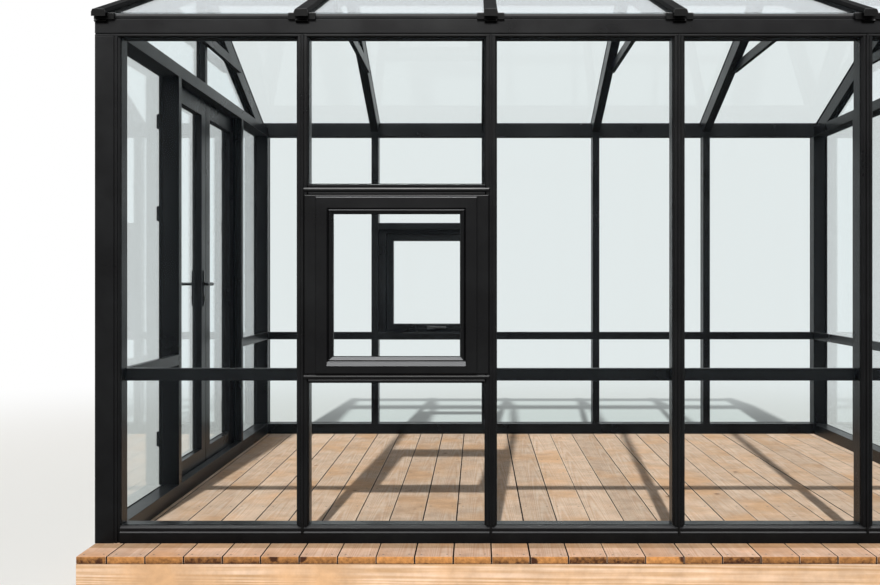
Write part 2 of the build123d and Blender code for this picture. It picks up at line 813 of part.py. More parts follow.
def leaf_hinges():
    """The moving halves: a barrel with a bore, and a plate on the face of the leaf."""
    pieces = []
    for centre in hinge_heights:
        low, high = knuckle_gap / 2, knuckle_gap / 2 + knuckle_height
        barrel = knuckle(centre, low, high)
        flap = block((pin_along - hinge_plate_width, pin_along),
                     (leaf_front - hinge_plate_thickness, leaf_front), (centre + low, centre + high))
        bore = Pos(pin_along, pin_inward, centre) * Cylinder(
            pin_radius + clearance, 2 * (high + clearance))
        pieces.append(barrel + flap - bore)
    return pieces


def post_hinges():
    """The fixed halves: a barrel with the pin, and a plate on the face of the door post."""
    pieces = []
    for centre in hinge_heights:
        low, high = -knuckle_gap / 2 - knuckle_height, -knuckle_gap / 2
        barrel = knuckle(centre, low, high)
        pin_low, pin_high = high - pin_root, knuckle_gap / 2 + knuckle_height
        pin = Pos(pin_along, pin_inward, centre + (pin_low + pin_high) / 2) * Cylinder(
            pin_radius, pin_high - pin_low)
        web = block((opening_half, opening_half + knuckle_radius / 2), (pin_inward, 0),
                    (centre + low, centre + high))
        flap = block((opening_half, opening_half + hinge_plate_width), (-hinge_plate_thickness, 0),
                     (centre + low, centre + high))
        pieces.append(barrel + pin + web + flap)
    return pieces


def spindle_place():
    """Along and up of the handle's spindle on the front leaf."""
    return leaf_inner + handle_backset, handle_height


def handle():
    """Lever handle on both faces of the front leaf, on one spindle, and its two plates."""
    along, up = spindle_place()
    toward_y = Rotation(90, 0, 0)
    reach = lever_stand_off + escutcheon_thickness
    front, back = leaf_front - reach, leaf_back + reach
    spindle = Pos(along, (front + back) / 2, up) * toward_y * Cylinder(spindle_radius, back - front)
    levers = spindle
    for face, out in ((leaf_front, -1), (leaf_back, 1)):
        start = face + out * (escutcheon_thickness + clearance)
        end = face + out * reach
        neck = Pos(along, (start + end) / 2, up) * toward_y * Cylinder(lever_neck_radius,
                                                                      abs(end - start))
        grip = Pos(along + lever_length / 2, end, up) * Rotation(0, 90, 0) * Cylinder(
            lever_radius, lever_length)
        levers = levers + neck + grip
    bore = Pos(along, (front + back) / 2, up) * toward_y * Cylinder(spindle_radius + clearance,
                                                                    back - front)
    plates = []
    for face, out in ((leaf_front, -1), (leaf_back, 1)):
        low, high = sorted((face, face + out * escutcheon_thickness))
        plate = block((along - escutcheon_width / 2, along + escutcheon_width / 2), (low, high),
                      (up - escutcheon_below, up + escutcheon_above))
        plates.append(plate - bore)
    return levers, plates, bore


def door():
    front_frame, front_pane = leaf(1)
    back_frame, back_pane = leaf(-1)
    levers, plates, bore = handle()
    middle_plane = Plane.YZ
    leaf_side, post_side = leaf_hinges(), post_hinges()
    return {
        "front_leaf_frame": placed("left", [front_frame - bore]),
        "front_leaf_glass": placed("left", [front_pane]),
        "front_leaf_hinges": placed("left", leaf_side),
        "lever_handle": placed("left", [levers]),
        "handle_plates": placed("left", plates),
        "back_leaf_frame": placed("left", [back_frame]),
        "back_leaf_glass": placed("left", [back_pane]),
        "back_leaf_hinges": placed("left", [mirror(piece, middle_plane) for piece in leaf_side]),
        "door_hinge_plates": placed("left", post_side + [mirror(piece, middle_plane)
                                                           for piece in post_side]),
    }


# Assembly

def pane_slots():
    """Every slot that a wall pane needs in the bars round it, in its place."""
    back_window_bay = bays_long - 1 - window_line
    outlines = {"front": long_wall_panes(window_line), "back": long_wall_panes(back_window_bay),
                "left": left_wall_panes() + gable_panes(),
                "right": right_wall_panes() + gable_panes()}
    return [slot for name, shapes in outlines.items()
            for slot in placed(name, [glass(shape, grow=clearance) for shape in shapes])]


def build():
    slots = pane_slots()
    back_window_bay = bays_long - 1 - window_line
    front, front_transoms = long_wall("front", window_line, slots)
    back, back_transoms = long_wall("back", back_window_bay, slots)
    nodes = {**deck_parts(), **front, **back, **left_wall(slots), **right_wall(slots),
             **corner_posts(slots), "window_transoms": front_transoms + back_transoms}
    front_window, back_window = window("front", window_line), window("back", back_window_bay)
    for name, pieces in front_window.items():
        nodes[name] = pieces + back_window[name]
    return {**nodes, **roof(slots), **ridge(slots), **collar_ties(), **king_mullions(slots),
            **eave_blocks(), **door()}


def save(name, pieces):
    solids = [solid for piece in pieces for solid in piece.solids()]
    shape = solids[0] if len(solids) == 1 else Compound(solids)
    export_step(shape, f"parts/{name}.step")


os.makedirs("parts", exist_ok=True)
for node_name, node_pieces in build().items():
    save(node_name, node_pieces)
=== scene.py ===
# %% [markdown]
# # Glass greenhouse
# A walk-in greenhouse with a black aluminium frame stands on a timber deck. Its frame comes
# from the CAD model, which is loaded first and never moved. This script gives the frame its
# finishes, lays the deck's boards one by one, and adds the small parts that a CAD model leaves
# out. The numbers are metres, X runs along the ridge, and the wall in front is at -Y.

# %% Load the frame
import json
import math
import random

import bmesh
import bpy
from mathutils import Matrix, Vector


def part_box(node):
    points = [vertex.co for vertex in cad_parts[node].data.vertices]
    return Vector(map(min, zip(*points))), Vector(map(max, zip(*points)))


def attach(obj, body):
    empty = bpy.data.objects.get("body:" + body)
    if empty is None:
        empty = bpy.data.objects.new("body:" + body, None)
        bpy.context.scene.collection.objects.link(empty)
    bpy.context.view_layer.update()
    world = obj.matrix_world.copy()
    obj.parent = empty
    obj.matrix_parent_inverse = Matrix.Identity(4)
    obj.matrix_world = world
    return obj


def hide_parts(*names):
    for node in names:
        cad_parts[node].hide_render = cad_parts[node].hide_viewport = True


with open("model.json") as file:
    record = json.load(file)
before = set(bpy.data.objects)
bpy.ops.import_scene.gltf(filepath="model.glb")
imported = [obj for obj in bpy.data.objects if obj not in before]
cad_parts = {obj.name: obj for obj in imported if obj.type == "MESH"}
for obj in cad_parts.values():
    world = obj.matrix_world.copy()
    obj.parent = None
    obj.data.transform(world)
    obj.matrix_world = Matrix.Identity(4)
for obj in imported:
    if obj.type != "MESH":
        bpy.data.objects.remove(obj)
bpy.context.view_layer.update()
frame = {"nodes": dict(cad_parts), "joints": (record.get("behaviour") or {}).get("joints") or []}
nodes = frame["nodes"]
mm = 0.001

# %% Places that the CAD model gives
deck_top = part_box("deck_floor")[1].z
deck_low, deck_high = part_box("deck_floor")
wall_low, wall_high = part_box("corner_posts")
print("deck top", round(deck_top, 4), "wall front", round(wall_low.y, 4))

# %% [markdown]
# ## Colours
# A colour picker shows sRGB values, but Blender's shaders work in linear light. Each colour
# below is written as a hex value, as on a paint chart, and one function turns it to linear.

# %% Hex to linear colour
def linear(hex_text):
    values = [int(hex_text[place:place + 2], 16) / 255 for place in (1, 3, 5)]
    return [v / 12.92 if v <= 0.04045 else ((v + 0.055) / 1.055) ** 2.4 for v in values] + [1.0]


print("mid grey", [round(v, 3) for v in linear("#808080")])

# %% [markdown]
# ## Adding nodes
# A material is a small network. One function adds a node, sets its own options, and either sets
# each input or links it to another node's output. Everything below is built with it.

# %% One function for every node
def add(tree, kind, inputs=None, **options):
    new = tree.nodes.new("ShaderNode" + kind)
    for name, value in options.items():
        setattr(new, name, value)
    for name, value in (inputs or {}).items():
        if isinstance(value, bpy.types.NodeSocket):
            tree.links.new(value, new.inputs[name])
        else:
            new.inputs[name].default_value = value
    return new


def new_material(name):
    material = bpy.data.materials.new(name)
    material.use_nodes = True
    material.node_tree.nodes.clear()
    return material, material.node_tree


print("node helper ready")

# %% [markdown]
# ## Powder-coated aluminium
# The bars are extruded aluminium with a baked polyester powder. Powder melts into a closed
# plastic skin, so the metal doesn't show: it is a dielectric with an IOR near 1.5 and a satin
# roughness. It keeps a faint orange peel, with bumps about 1 mm across. That is too fine to
# show on a building, so it is drawn about 3 mm across. Rain leaves a little dust, which makes
# the gloss uneven, and more of it lies on the faces that look up. On the window sashes those
# faces are a much lighter grey, partly dust and partly a painted highlight. No rain washes the
# undersides, so they stay dull. Four coats differ in how black, how glossy and how dusty they
# are.

# %% Powder coat
peel_size = 3 * mm
dust_patch = 260 * mm
looks_up_from, looks_up_to = 0.2, 0.6
looks_down_from, looks_down_to = -0.5, -0.8
underside_roughness = 0.95
polyester_ior = 1.5


def powder_coat(name, colour, dusty_colour, settled_dust_and_highlight, roughness, specular=0.1):
    material, tree = new_material(name)
    place = add(tree, "TexCoord").outputs["Object"]
    stain = add(tree, "TexNoise", {"Vector": place, "Scale": 1 / dust_patch, "Detail": 6.0,
                                   "Roughness": 0.62})
    dust = add(tree, "MapRange", {"Value": stain.outputs["Fac"], "From Min": 0.42,
                                  "From Max": 0.72})
    peel = add(tree, "TexNoise", {"Vector": place, "Scale": 1 / peel_size, "Detail": 1.0})
    rough = add(tree, "MapRange", {"Value": stain.outputs["Fac"], "From Min": 0.3, "From Max": 0.7,
                                   "To Min": roughness[0], "To Max": roughness[1]})
    colours = add(tree, "Mix", {0: dust.outputs[0], 6: linear(colour), 7: linear(dusty_colour)},
                  data_type="RGBA")
    facing = add(tree, "SeparateXYZ", {0: add(tree, "NewGeometry").outputs["Normal"]})
    # Faces that look up take the settled colour: dust, and on the sashes also a painted highlight.
    looks_up = add(tree, "MapRange", {"Value": facing.outputs["Z"],
                                      "From Min": looks_up_from, "From Max": looks_up_to})
    colours = add(tree, "Mix", {0: looks_up.outputs[0], 6: colours.outputs[2],
                                7: linear(settled_dust_and_highlight)}, data_type="RGBA")
    looks_down = add(tree, "MapRange", {"Value": facing.outputs["Z"],
                                        "From Min": looks_down_from, "From Max": looks_down_to})
    rough = add(tree, "Mix", {0: looks_down.outputs[0], 2: rough.outputs[0],
                              3: underside_roughness})
    bump = add(tree, "Bump", {"Height": peel.outputs["Fac"], "Strength": 0.03,
                              "Distance": 0.1 * mm})
    shader = add(tree, "BsdfPrincipled", {
        "Base Color": colours.outputs[2], "Roughness": rough.outputs[0], "Normal": bump.outputs[0],
        "IOR": polyester_ior, "Specular IOR Level": specular})
    add(tree, "OutputMaterial", {"Surface": shader.outputs[0]})
    return material


black_powder_coat = powder_coat(
    "black_powder_coated_aluminium", "#050506", "#0c0d0e", "#141415", (0.26, 0.34))
# On the window sashes the faces that look up are a much lighter grey: partly dust, partly a
# painted highlight.
dusty_highlighted_powder_coat = powder_coat(
    "dusty_and_highlighted_powder_coated_aluminium", "#050506", "#0a0b0c", "#565759", (0.26, 0.34))
weathered_powder_coat = powder_coat(
    "matt_weathered_powder_coat", "#050506", "#0c0d0f", "#0b0c0e", (0.55, 0.65), 0.015)
hinge_powder_coat = powder_coat(
    "black_powder_coated_steel", "#121315", "#1c1d1e", "#1c1d1e", (0.3, 0.42))
print("powder coats:", black_powder_coat.name, dusty_highlighted_powder_coat.name,
      weathered_powder_coat.name, hinge_powder_coat.name)

# %% [markdown]
# ## Toughened float glass
# A 4 mm pane is clear and hardly bends what is behind it. A shader that refracts would stop the
# lamps' light and make the room dark, so each face is a mix of a mirror and a clear film,
# slightly grey from the iron in the glass. The mirror's share is 4% face on and rises steeply
# towards the edge of sight, by Schlick's rule. The Fresnel node isn't used: on the face where
# light leaves the glass it expects a bent ray, and would make a slanting pane a full mirror.
# Out of doors a pane seen face on mirrors dark surroundings. In a white studio it would mirror
# white all over and lay a grey veil on the bars behind it, so there the mirror's own colour is
# a dark blue grey. On a slant a pane mirrors bright sky, and the colour rises to nearly white.
# Light on its way to the deck isn't weakened by the mirror, because the photograph's floor is
# as bright inside as outside.

# %% Glass
glass_ior = 1.52
face_on_mirror = ((glass_ior - 1) / (glass_ior + 1)) ** 2
schlick_power = 5.0
roller_wave = 420 * mm
mirrored_dark, mirrored_sky = "#3c444b", "#eef3f6"


def float_glass(name, tint, ripple):
    material, tree = new_material(name)
    place = add(tree, "TexCoord").outputs["Object"]
    wave = add(tree, "TexNoise", {"Vector": place, "Scale": 1 / roller_wave, "Detail": 1.0})
    bump = add(tree, "Bump", {"Height": wave.outputs["Fac"], "Strength": ripple,
                              "Distance": 1 * mm})
    slant = add(tree, "LayerWeight", {"Blend": 0.5, "Normal": bump.outputs[0]})
    low_sky = add(tree, "MapRange", {"Value": slant.outputs["Facing"], "From Min": 0.3,
                                     "From Max": 0.7})
    mirrored = add(tree, "Mix", {0: low_sky.outputs[0], 6: linear(mirrored_dark),
                                 7: linear(mirrored_sky)}, data_type="RGBA")
    mirror = add(tree, "BsdfGlossy", {"Color": mirrored.outputs[2], "Roughness": 0.02,
                                      "Normal": bump.outputs[0]})
    clear = add(tree, "BsdfTransparent", {"Color": linear(tint)})
    rise = add(tree, "Math", {0: slant.outputs["Facing"], 1: schlick_power},
               operation="POWER")
    share = add(tree, "MapRange", {"Value": rise.outputs[0], "To Min": face_on_mirror,
                                   "To Max": 1.0})
    lit_through = add(tree, "Math", {0: 1.0, 1: add(tree, "LightPath").outputs["Is Shadow Ray"]},
                      operation="SUBTRACT")
    seen_share = add(tree, "Math", {0: share.outputs[0], 1: lit_through.outputs[0]},
                     operation="MULTIPLY")
    both = add(tree, "MixShader", {0: seen_share.outputs[0], 1: clear.outputs[0],
                                   2: mirror.outputs[0]})
    add(tree, "OutputMaterial", {"Surface": both.outputs[0]})
    return material


clear_float_glass = float_glass("clear_toughened_float_glass", "#fcfefe", 0.2)
print("glass:", clear_float_glass.name)

# %% [markdown]
# ## Plastics, rubber and lacquered metal
# The blocks under the rafter caps are moulded nylon, satin with a fine spark-eroded grain, and
# the window latches are nylon that hands have polished. The handle is cast zinc under satin
# black lacquer, about as smooth as the powder coat. The gaskets are EPDM rubber, which is matt.

# %% Moulded and lacquered blacks
grain_depth = 0.15 * mm


def plain_black(name, colour, roughness, grain, strength, ior, specular=0.15):
    material, tree = new_material(name)
    place = add(tree, "TexCoord").outputs["Object"]
    noise = add(tree, "TexNoise", {"Vector": place, "Scale": 1 / grain, "Detail": 2.0})
    bump = add(tree, "Bump", {"Height": noise.outputs["Fac"], "Strength": strength,
                              "Distance": grain_depth})
    rough = add(tree, "MapRange", {"Value": noise.outputs["Fac"], "From Min": 0.3, "From Max": 0.7,
                                   "To Min": roughness * 0.9, "To Max": roughness * 1.1})
    shader = add(tree, "BsdfPrincipled", {"Base Color": linear(colour), "Normal": bump.outputs[0],
                                          "Roughness": rough.outputs[0], "IOR": ior,
                                          "Specular IOR Level": specular})
    add(tree, "OutputMaterial", {"Surface": shader.outputs[0]})
    return material


moulded_nylon = plain_black("black_moulded_nylon", "#030303", 0.3, 2 * mm, 0.1, 1.53, 0.06)
glossy_nylon = plain_black("polished_black_nylon", "#0c0c0d", 0.25, 2 * mm, 0.1, 1.53, 0.5)
black_lacquer = plain_black("satin_black_lacquer_on_zinc", "#0e0e0f", 0.28, 4 * mm, 0.08, 1.5)
epdm_rubber = plain_black("black_epdm_rubber", "#0f0f10", 0.75, 3 * mm, 0.2, 1.5)
print("blacks:", moulded_nylon.name, glossy_nylon.name, black_lacquer.name, epdm_rubber.name)

# %% [markdown]
# ## Timber
# A plain-sawn board is cut across the rings of the tree. So the grain here is a set of rings
# round a pith under the board, about 5 mm apart, stretched far along it: the top then shows
# long curved streaks, and the sawn end shows arcs. Sun and rain have turned the boards a
# pinkish brown that differs from board to board, planed edges have worn paler, and the ends
# have soaked up dirt. A knot turns up here and there. The rim timber is newer and yellower.
# Under the glass roof the boards stay dry and pale. Only the strip outside the walls has
# darkened in the rain, and a band along the foot of the wall is darker still. The sides of the
# gaps between boards, and the tops and undersides of the timbers under them, are painted dark,
# which is painted shade. Rough wood also throws light back the way it came, so it looks brighter
# with the sun behind the viewer: that is the shader's diffuse roughness.

# %% A place within each board
board_pitch = 145.8 * mm
board_seam = -373.6 * mm


def board_place(tree, place, across_axis, pitch, seam):
    """Where a point is across its own board, and a random number and colour for that board."""
    parts = add(tree, "SeparateXYZ", {0: place})
    shifted = add(tree, "Math", {0: parts.outputs[across_axis], 1: seam}, operation="SUBTRACT")
    boards = add(tree, "Math", {0: shifted.outputs[0], 1: pitch}, operation="DIVIDE")
    number = add(tree, "Math", {0: boards.outputs[0]}, operation="FLOOR")
    chance = add(tree, "TexWhiteNoise", {"W": number.outputs[0]}, noise_dimensions="1D")
    part = add(tree, "Math", {0: boards.outputs[0]}, operation="FRACT")
    across = add(tree, "MapRange", {"Value": part.outputs[0], "To Min": -pitch / 2,
                                    "To Max": pitch / 2})
    return parts, across.outputs[0], chance


print("board pitch", round(board_pitch, 4))

# %% Rings and streaks
ring_spacing = 5 * mm
wave_phase = 20
pith_depth, pith_spread = 110 * mm, 45 * mm
streak_width, streak_length = 9 * mm, 600 * mm
streak_share = 0.72
ring_stretch, pith_slope = 0.06, 0.012


def wood_grain(tree, place, parts, across, chance, grain_axis):
    """A place that chance has moved for each board, how pale the grain is, from 0 to 1, and the
    fine streaks for the bump."""
    moved = add(tree, "VectorMath", {0: chance.outputs["Color"], 1: (5.0, 5.0, 5.0), 2: place},
                operation="MULTIPLY_ADD")
    pith = add(tree, "MapRange", {"Value": chance.outputs["Value"], "To Min": -pith_spread,
                                  "To Max": pith_spread})
    beside = add(tree, "Math", {0: across, 1: pith.outputs[0]}, operation="ADD")
    slow = add(tree, "Math", {0: parts.outputs[grain_axis], 1: ring_stretch},
               operation="MULTIPLY")
    taper = add(tree, "Math", {0: parts.outputs[grain_axis], 1: pith_slope, 2: -pith_depth},
                operation="MULTIPLY_ADD")
    above = add(tree, "Math", {0: parts.outputs["Z"], 1: taper.outputs[0]}, operation="ADD")
    ring_place = add(tree, "CombineXYZ", {"X": beside.outputs[0], "Y": slow.outputs[0],
                                          "Z": above.outputs[0]})
    rings = add(tree, "TexWave", {"Vector": ring_place.outputs[0], "Distortion": 2.4,
                                  "Detail": 2.0, "Detail Scale": 0.6,
                                  "Scale": 2 * math.pi / (wave_phase * ring_spacing)},
                wave_type="RINGS", rings_direction="Y")
    thin, long_way = 1 / streak_width, 1 / streak_length
    squeeze = (thin, long_way, thin) if grain_axis == "Y" else (long_way, thin, thin)
    stretched = add(tree, "VectorMath", {0: moved.outputs[0], 1: squeeze}, operation="MULTIPLY")
    streak = add(tree, "TexNoise", {"Vector": stretched.outputs[0], "Scale": 1.0, "Detail": 4.0})
    grain = add(tree, "Mix", {0: streak_share, 2: rings.outputs["Fac"],
                              3: streak.outputs["Fac"]})
    return moved, grain.outputs[0], streak


print("rings", ring_spacing, "apart, pith", pith_depth, "down")

# %% Sawn ends
end_stain_size, end_blot_size = 16 * mm, 130 * mm


def dirty_end(tree, parts, chance, moved, grain, end_pale, end_dark):
    """The colour of sawn ends, which have soaked up dirt, and are darker towards the bottom."""
    stain = add(tree, "TexNoise", {"Vector": moved.outputs[0], "Scale": 1 / end_stain_size,
                                   "Detail": 6.0, "Roughness": 0.65})
    blots = add(tree, "TexVoronoi", {"Vector": moved.outputs[0], "Scale": 1 / end_blot_size})
    blot = add(tree, "MapRange", {"Value": blots.outputs["Distance"], "From Min": 0.12,
                                  "From Max": 0.22, "To Min": 0.8, "To Max": 0.0})
    soaked = add(tree, "Math", {0: chance.outputs["Value"], 1: 0.45, 2: blot.outputs[0]},
                 operation="MULTIPLY_ADD")
    soaked = add(tree, "Math", {0: stain.outputs["Fac"], 1: soaked.outputs[0]}, operation="ADD")
    soaked = add(tree, "Math", {0: grain, 1: -0.35, 2: soaked.outputs[0]},
                 operation="MULTIPLY_ADD")
    # Sawn ends grow darker towards the bottom.
    low_part = add(tree, "MapRange", {"Value": parts.outputs["Z"], "From Min": deck_low.z,
                                      "From Max": deck_top, "To Min": 0.3, "To Max": 0.0})
    soaked = add(tree, "Math", {0: soaked.outputs[0], 1: low_part.outputs[0]}, operation="ADD")
    dirt = add(tree, "MapRange", {"Value": soaked.outputs[0], "From Min": 0.3, "From Max": 1.0})
    return add(tree, "Mix", {0: dirt.outputs[0], 6: end_pale, 7: end_dark}, data_type="RGBA")


print("stains on sawn ends", end_stain_size, "wide")

# %% Rain
foot_strip_width, foot_strip_stray = 82 * mm, 30 * mm
wet_fade, foot_strip_fade = 20 * mm, 8 * mm
foot_strip_tint, rained_tint = "#c5bdad", "#ebe4e0"


def rained_on(tree, wood, parts, patch, dry_depth):
    """Wood that rain has darkened further from the middle line than the dry depth, with a
    darker strip along the foot of the wall.
    """
    out = add(tree, "Math", {0: parts.outputs["Y"]}, operation="ABSOLUTE")
    # A strip along the foot of the wall is made darker than the rest outside the walls.
    jittered_out = add(tree, "Math", {0: patch.outputs["Fac"], 1: foot_strip_stray, 2: out.outputs[0]},
                 operation="MULTIPLY_ADD")
    wet = add(tree, "MapRange", {"Value": jittered_out.outputs[0], "From Min": dry_depth,
                                 "From Max": dry_depth + wet_fade})
    past_foot_strip = add(tree, "MapRange", {"Value": jittered_out.outputs[0],
                                      "From Min": dry_depth + foot_strip_width,
                                      "From Max": dry_depth + foot_strip_width + foot_strip_fade})
    tint = add(tree, "Mix", {0: past_foot_strip.outputs[0], 6: linear(foot_strip_tint),
                             7: linear(rained_tint)}, data_type="RGBA")
    tint = add(tree, "Mix", {0: wet.outputs[0], 6: (1, 1, 1, 1), 7: tint.outputs[2]},
               data_type="RGBA")
    return add(tree, "VectorMath", {0: wood.outputs[0], 1: tint.outputs[2]},
               operation="MULTIPLY")


print("darker foot strip", foot_strip_width, "wide")

# %% Timber
warm_patch, scuff_size = 420 * mm, 110 * mm
knot_spacing, knot_core, knot_rim = 360 * mm, 0.018, 0.05
worn_from, worn_to = 8 * mm, 4 * mm
end_face_depth = 4 * mm
grain_relief = 0.7 * mm
wood_ior = 1.45
# Hidden faces take this dark brown: painted shade.
painted_gap_shade = "#20150d"


def sawn_timber(name, grain_axis, board, colours, tone_range, dry_depth=0.0):
    """Colours: pale and deep wood, warm wood, knot, pale end and dark end. The deck's boards have
    a dry depth, and their sides are painted dark as shade. The timbers under them have none, and
    their tops and undersides are painted dark as shade."""
    pale, deep, warm, knot_colour, end_pale, end_dark = [linear(colour) for colour in colours]
    material, tree = new_material(name)
    place = add(tree, "TexCoord").outputs["Object"]
    pitch, seam = board
    across_axis = "X" if grain_axis == "Y" else "Y"
    parts, across, chance = board_place(tree, place, across_axis, pitch, seam)
    moved, grain, streak = wood_grain(tree, place, parts, across, chance, grain_axis)
    spread = add(tree, "MapRange", {"Value": grain, "From Min": 0.32, "From Max": 0.68})
    wood = add(tree, "Mix", {0: spread.outputs[0], 6: deep, 7: pale}, data_type="RGBA")
    patch = add(tree, "TexNoise", {"Vector": moved.outputs[0], "Scale": 1 / warm_patch,
                                   "Detail": 4.0})
    blush = add(tree, "MapRange", {"Value": patch.outputs["Fac"], "From Min": 0.48,
                                   "From Max": 0.66})
    warmed = add(tree, "Mix", {0: blush.outputs[0], 6: wood.outputs[2], 7: warm},
                 data_type="RGBA")
    edge = add(tree, "Math", {0: across}, operation="ABSOLUTE")
    worn = add(tree, "MapRange", {"Value": edge.outputs[0], "From Min": pitch / 2 - worn_from,
                                  "From Max": pitch / 2 - worn_to, "To Max": 0.6})
    edged = add(tree, "Mix", {0: worn.outputs[0], 6: warmed.outputs[2], 7: pale},
                data_type="RGBA")
    knots = add(tree, "TexVoronoi", {"Vector": moved.outputs[0], "Scale": 1 / knot_spacing})
    knot = add(tree, "MapRange", {"Value": knots.outputs["Distance"], "From Min": knot_core,
                                  "From Max": knot_rim, "To Min": 1.0, "To Max": 0.0})
    knotted = add(tree, "Mix", {0: knot.outputs[0], 6: edged.outputs[2], 7: knot_colour},
                  data_type="RGBA")
    tone = add(tree, "MapRange", {"Value": chance.outputs["Value"], "To Min": tone_range[0],
                                  "To Max": tone_range[1]})
    scuffs = add(tree, "TexNoise", {"Vector": moved.outputs[0], "Scale": 1 / scuff_size,
                                    "Detail": 7.0, "Roughness": 0.7})
    scuff = add(tree, "MapRange", {"Value": scuffs.outputs["Fac"], "From Min": 0.36,
                                   "From Max": 0.64, "To Min": 0.86, "To Max": 1.12})
    tone = add(tree, "Math", {0: tone.outputs[0], 1: scuff.outputs[0]}, operation="MULTIPLY")
    toned = add(tree, "VectorMath", {0: knotted.outputs[2], "Scale": tone.outputs[0]},
                operation="SCALE")
    if dry_depth:
        toned = rained_on(tree, toned, parts, patch, dry_depth)
    end = dirty_end(tree, parts, chance, moved, grain, end_pale, end_dark)
    facing = add(tree, "SeparateXYZ", {0: add(tree, "NewGeometry").outputs["Normal"]})
    end_on = add(tree, "Math", {0: facing.outputs[grain_axis]}, operation="ABSOLUTE")
    sawn = add(tree, "MapRange", {"Value": end_on.outputs[0], "From Min": 0.6, "From Max": 0.9})
    # Board sides in the gaps, and the tops and undersides of the timbers below, are painted dark
    # as shade.
    hidden_way = add(tree, "Math", {0: facing.outputs["X" if dry_depth else "Z"]},
                     operation="ABSOLUTE")
    hidden = add(tree, "MapRange", {"Value": hidden_way.outputs[0], "From Min": 0.7,
                                    "From Max": 0.95})
    if dry_depth:
        endward = add(tree, "Math", {0: parts.outputs["X"]}, operation="ABSOLUTE")
        within = add(tree, "Math", {0: endward.outputs[0], 1: deck_high.x - end_face_depth},
                     operation="LESS_THAN")
        hidden = add(tree, "Math", {0: hidden.outputs[0], 1: within.outputs[0]},
                     operation="MULTIPLY")
    gap_shaded = add(tree, "Mix", {0: hidden.outputs[0], 6: toned.outputs[0], 7: linear(painted_gap_shade)},
               data_type="RGBA")
    colour = add(tree, "Mix", {0: sawn.outputs[0], 6: gap_shaded.outputs[2], 7: end.outputs[2]},
                 data_type="RGBA")
    bump = add(tree, "Bump", {"Height": streak.outputs["Fac"], "Strength": 0.3,
                              "Distance": grain_relief})
    shader = add(tree, "BsdfPrincipled", {"Base Color": colour.outputs[2], "Roughness": 0.78,
                                          "Diffuse Roughness": 0.25, "Normal": bump.outputs[0],
                                          "IOR": wood_ior, "Specular IOR Level": 0.12})
    add(tree, "OutputMaterial", {"Surface": shader.outputs[0]})
    return material


larch = ["#e6cab4", "#d6b196", "#dcb08c", "#7d563d", "#c48a50", "#3c2214"]
pine = ["#d3b79e", "#b3906a", "#c19c77", "#8a5c3a", "#b58a5e", "#8c6642"]
pine_board = (200 * mm, 0.0)
weathered_larch = sawn_timber("weathered_larch_boards", "Y", (board_pitch, board_seam), larch,
                              (0.84, 1.05), wall_high.y)
fresh_pine_long = sawn_timber("fresh_pine_along_x", "X", pine_board, pine, (0.97, 1.0))
fresh_pine_end = sawn_timber("fresh_pine_along_y", "Y", pine_board, pine, (0.97, 1.0))
print("timbers:", weathered_larch.name, fresh_pine_long.name, fresh_pine_end.name)

# %% [markdown]
# ## Finishes on the frame
# Each CAD part has one finish. An extruded bar has no knife edge: its corners are rounded by
# about a millimetre, and that round is what catches the light. The CAD mesh isn't touched.
# Modifiers merge its split corners, join its flat triangles, and bevel what is left.

# %% Give each node its finish
edge_round = {"bar": 1.0 * mm, "timber": 2.5 * mm, "handle": 1.6 * mm, "block": 0.8 * mm,
              "latch": 2.8 * mm, "hinge": 0.6 * mm}
merge_distance = 0.01 * mm
flat_angle, edge_angle = math.radians(0.5), math.radians(30)


def finish(node_name, material, round_size=0.0):
    node = nodes[node_name]
    node.data.materials.clear()
    node.data.materials.append(material)
    if round_size:
        weld = node.modifiers.new("join_corners", "WELD")
        weld.merge_threshold = merge_distance
        flat = node.modifiers.new("join_flats", "DECIMATE")
        flat.decimate_type = "DISSOLVE"
        flat.angle_limit = flat_angle
        bevel = node.modifiers.new("edge_round", "BEVEL")
        bevel.width, bevel.segments, bevel.limit_method = round_size, 2, "ANGLE"
        bevel.angle_limit = edge_angle
        shade = node.modifiers.new("even_shade", "WEIGHTED_NORMAL")
        shade.keep_sharp = True


for name in nodes:
    if "glass" in name:
        finish(name, clear_float_glass)
    elif name in ("lever_handle", "handle_plates"):
        finish(name, black_lacquer, edge_round["handle"])
    elif name == "eave_blocks":
        finish(name, moulded_nylon, edge_round["block"])
    elif name == "window_latches":
        finish(name, glossy_nylon, edge_round["latch"])
    elif name == "window_sashes":
        finish(name, dusty_highlighted_powder_coat, edge_round["bar"])
    elif name.endswith("hinges") or name.endswith("hinge_plates"):
        finish(name, hinge_powder_coat, edge_round["hinge"])
    elif name in ("deck_long_rims", "deck_joists"):
        finish(name, fresh_pine_long, edge_round["timber"])
    elif name == "deck_end_rims":
        finish(name, fresh_pine_end, edge_round["timber"])
    elif name in ("rafter_caps", "ridge_cap"):
        finish(name, weathered_powder_coat, edge_round["bar"])
    elif name != "deck_floor":
        finish(name, black_powder_coat, edge_round["bar"])
print("finished", len(nodes) - 1, "nodes")

# %% [markdown]
# ## Deck boards
# Twenty-seven boards run from front to back, with a gap of about 4 mm for rain between them.
# Each is drawn as a long box, because a board is one, but no two are alike: sides stray by up
# to a millimetre, ends are cut a millimetre or two apart, and a board sits a hair lower than
# the next. The edges are rounded by the planer.

